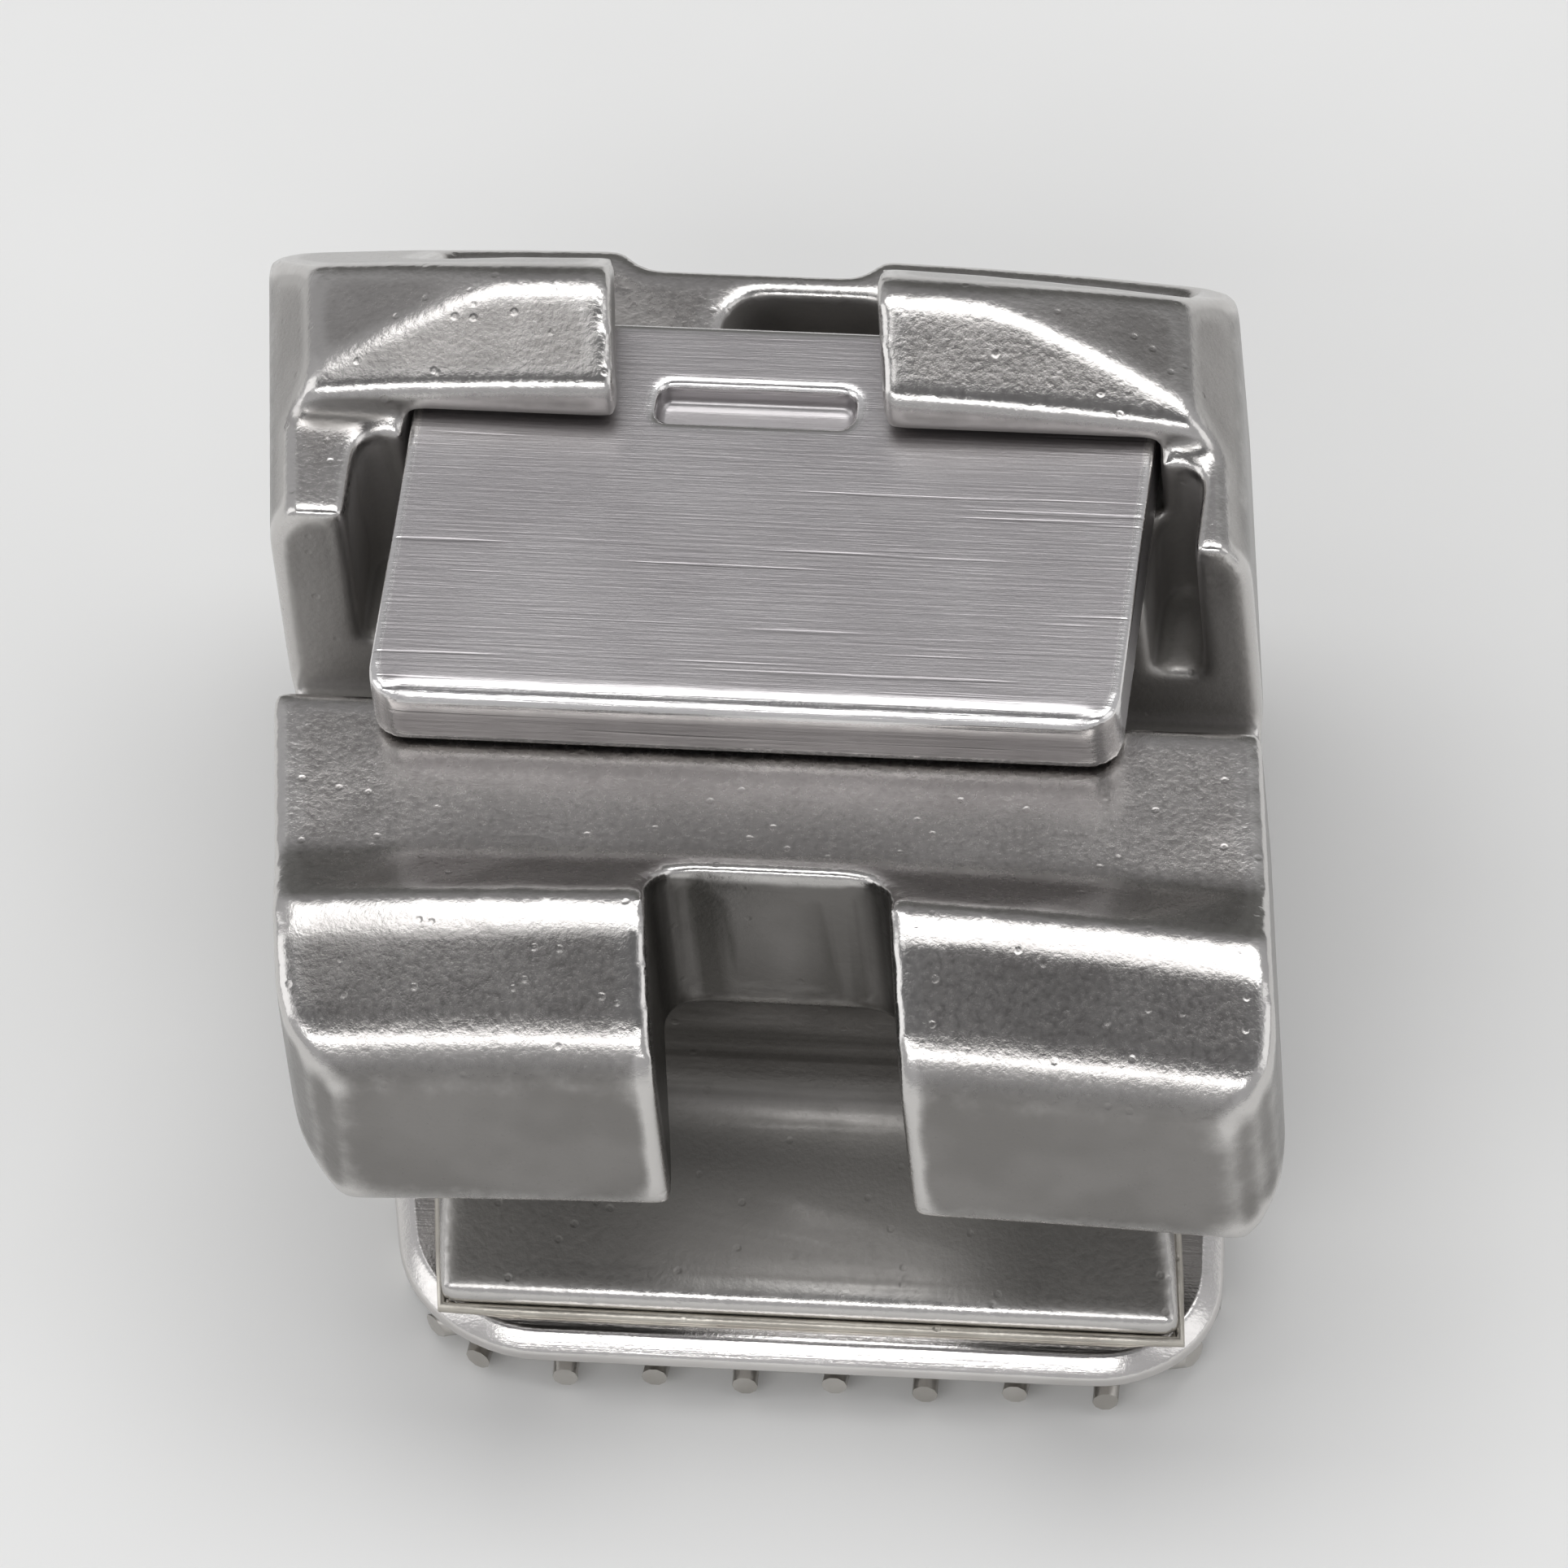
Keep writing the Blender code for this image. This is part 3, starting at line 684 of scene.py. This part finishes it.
# %% Door: the stud
STUD_RADIUS = 0.12
STUD_CENTRE = 0.66
STUD_RIM = 0.02
STUD_CHAMFER = 0.015
stud_length = DOOR_INNER - door_low.z
nothing_selected()
bpy.ops.mesh.primitive_cylinder_add(
    vertices=48, radius=STUD_RADIUS, depth=stud_length, location=(0, STUD_CENTRE, door_low.z + stud_length / 2)
)
door_stud = bpy.context.object
door_stud.name = "door_stud"
bpy.ops.object.transform_apply(location=True, rotation=False, scale=False)
select_where(door_stud, lambda middle, normal: normal.z < -0.9, "FACE")
bpy.ops.mesh.inset(thickness=STUD_RIM)
stud_axis = Vector((0, STUD_CENTRE))
select_where(
    door_stud,
    lambda middle, way: middle.z < door_low.z + 0.001 and (middle.xy - stud_axis).length > STUD_RADIUS - 0.01,
    "EDGE",
)
bpy.ops.mesh.bevel(offset=STUD_CHAMFER, segments=3, affect="EDGES")
done_editing()
finish_piece(door_stud, "door", ["sliding_door"], steel_for["spring"])

# %% [markdown]
# ## The bonding pad
#
# The pad is a stamped foil with a woven wire mesh brazed to its tooth side. The foil is a plane of the pad's
# size: its sides are tapered by moving vertices, its corners are rounded by a vertex bevel, and then it is
# extruded to the foil's thickness and leaned. Its upper rim is bevelled, and all its edges are rounded a little,
# as a punch leaves them.

# %% Foil
PAD_HEIGHT = 3.60
PAD_TOP_WIDTH = 3.30
PAD_BOTTOM_WIDTH = 2.86
PAD_CORNER = 0.46
FOIL_BEVEL = 0.06
FOIL_ROUND = 0.014
foil_low, foil_high = (Vector(corner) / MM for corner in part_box("bonding_foil"))


def pad_plate(name, low, high, margin=0.0):
    """The pad's outline as a plate from one level to the other."""
    nothing_selected()
    bpy.ops.mesh.primitive_plane_add(size=1, location=(0, 0, low))
    plate = bpy.context.object
    plate.name = name
    plate.scale = (1, PAD_HEIGHT - 2 * margin, 1)
    bpy.ops.object.transform_apply(location=True, rotation=False, scale=True)
    for vertex in plate.data.vertices:
        width = PAD_TOP_WIDTH if vertex.co.y > 0 else PAD_BOTTOM_WIDTH
        vertex.co.x *= width - 2 * margin
    edit(plate)
    bpy.ops.mesh.select_all(action="SELECT")
    bpy.ops.mesh.bevel(offset=PAD_CORNER - margin, segments=12, affect="VERTICES")
    bpy.ops.mesh.select_all(action="SELECT")
    bpy.ops.mesh.extrude_region_move(TRANSFORM_OT_translate={"value": (0, 0, high - low)})
    bpy.ops.mesh.select_all(action="SELECT")
    bpy.ops.mesh.normals_make_consistent(inside=False)
    done_editing()
    return lean(plate)


pad_foil = pad_plate("pad_foil", foil_low.z, foil_high.z)
select_where(pad_foil, lambda middle, way: abs(way.z) < 0.1 and middle.z > foil_high.z - 0.01, "EDGE")
bpy.ops.mesh.bevel(offset=FOIL_BEVEL, segments=1, affect="EDGES")
select_where(pad_foil, lambda middle, way: abs(way.z) < 0.1, "EDGE")
bpy.ops.mesh.bevel(offset=FOIL_ROUND, segments=3, affect="EDGES")
done_editing()
finish_piece(pad_foil, "bracket", ["bonding_foil"], steel_for["foil"], angle=50)

# %% [markdown]
# The body is brazed to the foil. The alloy is drawn into the joint and leaves a thin bead all along the foot.
# A closed curve along the foot's edge, with a round section, gives that bead.

# %% Braze bead
FOOT_MARGIN = 0.13
FOOT_HALF_WIDTH = PAD_BOTTOM_WIDTH / 2 - FOOT_MARGIN
FOOT_HALF_HEIGHT = PAD_HEIGHT / 2 - FOOT_MARGIN
FOOT_STEPS = 12
BEAD_RADIUS = 0.022
BEAD_RISE = 0.008


def round_wire(name, route, level, radius, closed=False):
    """A round wire or bead along places in one level, as a mesh."""
    curve = bpy.data.curves.new(name, "CURVE")
    curve.dimensions = "3D"
    curve.bevel_depth = radius
    curve.bevel_resolution = 4
    curve.use_fill_caps = True
    spline = curve.splines.new("POLY")
    spline.points.add(len(route) - 1)
    for point, (x, y) in zip(spline.points, route):
        point.co = (x, y, level, 1)
    spline.use_cyclic_u = closed
    made = bpy.data.objects.new(name, curve)
    scene.collection.objects.link(made)
    pick(made)
    bpy.ops.object.convert(target="MESH")
    return bpy.context.object


foot_route = []
corners = [(1, -1), (1, 1), (-1, 1), (-1, -1)]
for index, (x, y) in enumerate(corners):
    following = corners[(index + 1) % 4]
    for step in range(FOOT_STEPS):
        part = step / FOOT_STEPS
        foot_route.append((
            FOOT_HALF_WIDTH * (x + (following[0] - x) * part), FOOT_HALF_HEIGHT * (y + (following[1] - y) * part)
        ))
braze_bead = lean(round_wire("braze_bead", foot_route, foil_high.z + BEAD_RISE, BEAD_RADIUS, closed=True))
finish_piece(braze_bead, "bracket", [], steel_for["braze"], angle=60)

# %% [markdown]
# ## The woven mesh
#
# The cloth is 80 wires to the inch, each 0.09 mm thick, over one and under the next. One wave of wire is
# extruded ring by ring and repeated by an Array modifier. That wire is then copied for every place, every other
# one shifted by half a wave, and the wires of the second layer take the opposite wave, so they weave.

# %% One wire
WIRE_PITCH = 0.3175
WIRE = 0.09
mesh_low, mesh_high = (Vector(corner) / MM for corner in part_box("bonding_mesh"))
WAVE_LOW = mesh_low.z + WIRE / 2
WAVE_HIGH = mesh_high.z - WIRE / 2
RINGS_PER_WAVE = 12
WAVES = 8


def wave_level(along):
    """Height of the wire's centre, highest at 0."""
    middle = (WAVE_LOW + WAVE_HIGH) / 2
    return middle + (WAVE_HIGH - WAVE_LOW) / 2 * math.cos(math.pi * along / WIRE_PITCH)


nothing_selected()
bpy.ops.mesh.primitive_circle_add(
    vertices=10, radius=WIRE / 2, location=(0, 0, wave_level(0)), rotation=(0, math.pi / 2, 0)
)
weave_wire = bpy.context.object
weave_wire.name = "weave_wire"
bpy.ops.object.transform_apply(location=True, rotation=True, scale=False)
edit(weave_wire)
bpy.ops.mesh.select_all(action="SELECT")
ring_step = 2 * WIRE_PITCH / RINGS_PER_WAVE
for ring in range(RINGS_PER_WAVE):
    rise = wave_level((ring + 1) * ring_step) - wave_level(ring * ring_step)
    bpy.ops.mesh.extrude_region_move(TRANSFORM_OT_translate={"value": (ring_step, 0, rise)})
done_editing()
apply_modifier(
    weave_wire, "ARRAY", count=WAVES, use_relative_offset=False, use_constant_offset=True,
    constant_offset_displace=(2 * WIRE_PITCH, 0, 0), use_merge_vertices=True, merge_threshold=0.001,
)
edit(weave_wire)
bpy.ops.mesh.select_all(action="SELECT")
bpy.ops.mesh.fill_holes(sides=0)
bpy.ops.mesh.select_all(action="SELECT")
bpy.ops.mesh.normals_make_consistent(inside=False)
bpy.ops.transform.translate(value=(-WAVES * WIRE_PITCH, 0, 0))
done_editing()
print("one wire:", len(weave_wire.data.polygons), "faces")

# %% The cloth, cut to the pad
WIRES_EACH_WAY = 6
CLOTH_MARGIN = 0.02
CUTTER_EXTRA = 0.1
cloth_outline = pad_plate(
    "cloth_outline", mesh_low.z - CUTTER_EXTRA, mesh_high.z + CUTTER_EXTRA, margin=CLOTH_MARGIN
)
outline_points = [vertex.co.xy.copy() for vertex in cloth_outline.data.vertices if vertex.co.z < mesh_low.z]
outline_points.sort(key=lambda point: math.atan2(point.y, point.x))
SHORTEST_WIRE = 2.2 * WIRE_PITCH


def chord(axis, level):
    """How much of a wire at this place lies inside the pad."""
    crossings = []
    for index, point in enumerate(outline_points):
        before = outline_points[index - 1]
        if (before[axis] > level) != (point[axis] > level):
            part = (level - before[axis]) / (point[axis] - before[axis])
            crossings.append(before.lerp(point, part)[1 - axis])
    return max(crossings) - min(crossings) if crossings else 0.0


wires = []
for along_x in (True, False):
    for index in range(-WIRES_EACH_WAY, WIRES_EACH_WAY + 1):
        if chord(1 if along_x else 0, index * WIRE_PITCH) < SHORTEST_WIRE:
            continue
        wire = bpy.data.objects.new(f"wire_{'x' if along_x else 'y'}_{index}", weave_wire.data.copy())
        scene.collection.objects.link(wire)
        shift = (index % 2) * WIRE_PITCH
        if along_x:
            wire.matrix_world = Matrix.Translation((shift, index * WIRE_PITCH, 0))
        else:
            quarter = Matrix.Rotation(math.pi / 2, 4, "Z")
            place = Matrix.Translation((index * WIRE_PITCH, shift + WIRE_PITCH, 0))
            wire.matrix_world = place @ quarter
        wires.append(wire)
pick(*wires)
bpy.ops.object.transform_apply(location=True, rotation=True, scale=True)
for wire in wires:
    apply_modifier(wire, "BOOLEAN", object=cloth_outline, operation="INTERSECT", solver="EXACT")
pick(*wires)
bpy.ops.object.join()
woven_mesh = bpy.context.object
woven_mesh.name = "woven_mesh"
bpy.data.objects.remove(weave_wire)
bpy.data.objects.remove(cloth_outline)
print("cloth:", len(wires), "wires")

# %% Where the laser marked the mesh
def stroke_distance(places, strokes):
    """Least distance of each place to the strokes, given as pairs of points."""
    least = np.full(len(places), 9.0)
    for start, end in strokes:
        start, end = np.array(start), np.array(end)
        along = end - start
        part = np.clip(((places - start) @ along) / (along @ along), 0, 1)
        least = np.minimum(least, np.linalg.norm(places - (start + part[:, None] * along), axis=1))
    return least


NUMERAL = [
    (-0.50, 0.42), (-0.34, 0.66), (-0.02, 0.74), (0.30, 0.62), (0.36, 0.34), (0.16, 0.02), (-0.46, -0.62),
    (0.50, -0.62),
]
NUMERAL_PLACE = (0.15, -0.35)
STROKE = 0.10
lying = [(NUMERAL_PLACE[0] + y, NUMERAL_PLACE[1] + x) for x, y in NUMERAL]
mesh_places = np.array([vertex.co.xy for vertex in woven_mesh.data.vertices])
from_stroke = stroke_distance(mesh_places, list(zip(lying, lying[1:])))
write_attribute(woven_mesh, "tint", np.clip(1.0 - (from_stroke - STROKE) / STROKE, 0, 1))
print("tinted:", int((from_stroke < STROKE).sum()), "of", len(mesh_places), "vertices")
finish_piece(woven_mesh, "bracket", ["bonding_mesh"], steel_for["mesh"], angle=50)

# %% [markdown]
# ## The locking spring
#
# The hairpin is drawn wire, bent round the place where the door's stud rests. A curve with a round bevel is the
# natural tool for bent wire. It is turned to a mesh at the end, so that its place is in its vertices.

# %% Spring
SPRING_WIRE = 0.11
SPRING_CLEARANCE = 0.015
SPRING_BOW = 0.04
LEG_STEPS = 20
BEND_STEPS = 16
spring_low, spring_high = (Vector(corner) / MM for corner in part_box("locking_spring"))
LEG_CENTRE = STUD_RADIUS + SPRING_CLEARANCE + SPRING_WIRE / 2
leg_length = spring_high.y - STUD_CENTRE
leg = []
for step in range(1, LEG_STEPS + 1):
    along = step / LEG_STEPS
    bow = SPRING_BOW * math.sin(2 * math.pi * along) ** 2
    leg.append((LEG_CENTRE + bow, STUD_CENTRE + leg_length * along))
turns = [math.pi * step / BEND_STEPS for step in range(BEND_STEPS + 1)]
bend = [(-LEG_CENTRE * math.cos(turn), STUD_CENTRE - LEG_CENTRE * math.sin(turn)) for turn in turns]
hairpin_route = [(-x, y) for x, y in reversed(leg)] + bend + leg
spring_level = (spring_low.z + spring_high.z) / 2
spring_hairpin = round_wire("spring_hairpin", hairpin_route, spring_level, SPRING_WIRE / 2)
finish_piece(spring_hairpin, "bracket", ["locking_spring"], steel_for["spring"], angle=50)

# %% [markdown]
# ## Floor, light and camera
#
# The floor is plain and pale. Polished metal shows little but what surrounds it. So the world is a plain grey
# with two dark parts, one low beyond the bracket and one overhead, and a dim part where flat faces mirror it.
# A wide softbox overhead draws a bright line along each ridge, and one in front does so along the pad's rim.
# The camera stands where the photograph was taken from, with a long lens, as the bracket is tiny.

# %% Floor
FLOOR_SIZE = 1.2
nothing_selected()
bpy.ops.mesh.primitive_plane_add(size=FLOOR_SIZE, location=(0, 0, 0))
studio_floor = bpy.context.object
studio_floor.name = "studio_floor"
floor_look = bpy.data.materials.new("floor_look")
floor_look.use_nodes = True
floor_tree = floor_look.node_tree
floor_shader = floor_tree.nodes["Principled BSDF"]
floor_shader.inputs["Roughness"].default_value = 0.7
floor_shader.inputs["Specular IOR Level"].default_value = 0.2
floor_coordinates = node(floor_tree, "ShaderNodeTexCoord")
floor_noise = noise(floor_tree, floor_coordinates.outputs["Object"], 900.0, 2.0)
floor_colour = mix_colours(floor_tree, floor_noise, (0.83, 0.83, 0.82), (0.86, 0.86, 0.85))
floor_tree.links.new(floor_colour, floor_shader.inputs["Base Color"])
studio_floor.data.materials.append(floor_look)

# %% World
world = bpy.data.worlds.new("studio_world")
scene.world = world
world.use_nodes = True
sky = world.node_tree
sky_coordinates = node(sky, "ShaderNodeTexCoord")
sky_way = sky_coordinates.outputs["Generated"]


def sky_lobe(direction, inner, outer):
    """1 within the inner angle of a direction, fading to 0 at the outer one, in degrees."""
    dot = node(sky, "ShaderNodeVectorMath", operation="DOT_PRODUCT")
    sky.links.new(sky_way, dot.inputs[0])
    dot.inputs[1].default_value = Vector(direction).normalized()
    return ramp(sky, dot.outputs["Value"], math.cos(math.radians(outer)), math.cos(math.radians(inner)))


sky_colour = mix_colours(sky, sky_lobe((0, 1, 0.05), 20, 55), (0.50, 0.50, 0.51), (0.16, 0.16, 0.155))
sky_colour = mix_colours(sky, sky_lobe((-0.1, -0.35, 0.93), 18, 40), sky_colour, (0.16, 0.16, 0.165))
sky_colour = mix_colours(sky, sky_lobe((-0.12, 0.63, 0.77), 8, 22), sky_colour, (0.30, 0.297, 0.304))
sky.links.new(sky_colour, sky.nodes["Background"].inputs["Color"])
sky.nodes["Background"].inputs["Strength"].default_value = 1.0


# %% Lamps
LAMP_TARGET = Vector((0, 0, 1.2))


def softbox(name, direction, distance, width, height, radiance):
    """A rectangular lamp that looks at the bracket, sized in millimetres, as bright per area as radiance says."""
    lamp = bpy.data.lights.new(name, "AREA")
    lamp.shape = "RECTANGLE"
    lamp.size = width * MM
    lamp.size_y = height * MM
    lamp.energy = math.pi * lamp.size * lamp.size_y * radiance
    holder = bpy.data.objects.new(name, lamp)
    scene.collection.objects.link(holder)
    way = Vector(direction).normalized()
    across = Vector((1, 0, 0)) - way * way.x
    across.normalize()
    along = way.cross(across)
    place = (way * distance + LAMP_TARGET) * MM
    holder.matrix_world = Matrix((
        (across.x, along.x, way.x, place.x),
        (across.y, along.y, way.y, place.y),
        (across.z, along.z, way.z, place.z),
        (0, 0, 0, 1),
    ))
    return holder


softbox("ridge_strip", (0.0, 0.24, 0.97), 60, 62, 30, 2.6)
softbox("front_strip", (-0.15, -0.74, 0.66), 60, 50, 15, 3.2)
softbox("wing_glow", (-0.30, -0.15, 0.94), 60, 14, 9, 1.3)
softbox("left_light", (-1.0, -0.15, 0.55), 70, 60, 44, 0.9)
softbox("right_light", (1.0, -0.15, 0.55), 70, 60, 44, 0.7)

# %% Camera
AZIMUTH, ELEVATION, ROLL = (math.radians(angle) for angle in (12.0, 50.2, 6.8))
LENS = 400
FRAME_WIDTH = 5.5
CAMERA_TARGET = Vector((0.02, -0.02, 1.25))
right = Vector((math.cos(AZIMUTH), math.sin(AZIMUTH), 0))
towards = Vector((
    math.sin(AZIMUTH) * math.cos(ELEVATION), -math.cos(AZIMUTH) * math.cos(ELEVATION), math.sin(ELEVATION)
))
upward = towards.cross(right)
rolled_right = right * math.cos(ROLL) - upward * math.sin(ROLL)
rolled_up = right * math.sin(ROLL) + upward * math.cos(ROLL)
camera_data = bpy.data.cameras.new("camera")
camera_data.lens = LENS
camera_data.clip_start = 0.001
camera_data.clip_end = 10
camera_distance = FRAME_WIDTH * MM * LENS / camera_data.sensor_width
camera_place = CAMERA_TARGET * MM + towards * camera_distance
camera = bpy.data.objects.new("camera", camera_data)
scene.collection.objects.link(camera)
camera.matrix_world = Matrix((
    (rolled_right.x, rolled_up.x, towards.x, camera_place.x),
    (rolled_right.y, rolled_up.y, towards.y, camera_place.y),
    (rolled_right.z, rolled_up.z, towards.z, camera_place.z),
    (0, 0, 0, 1),
))
scene.camera = camera
print("camera:", round(camera_distance * 1000, 1), "mm away")
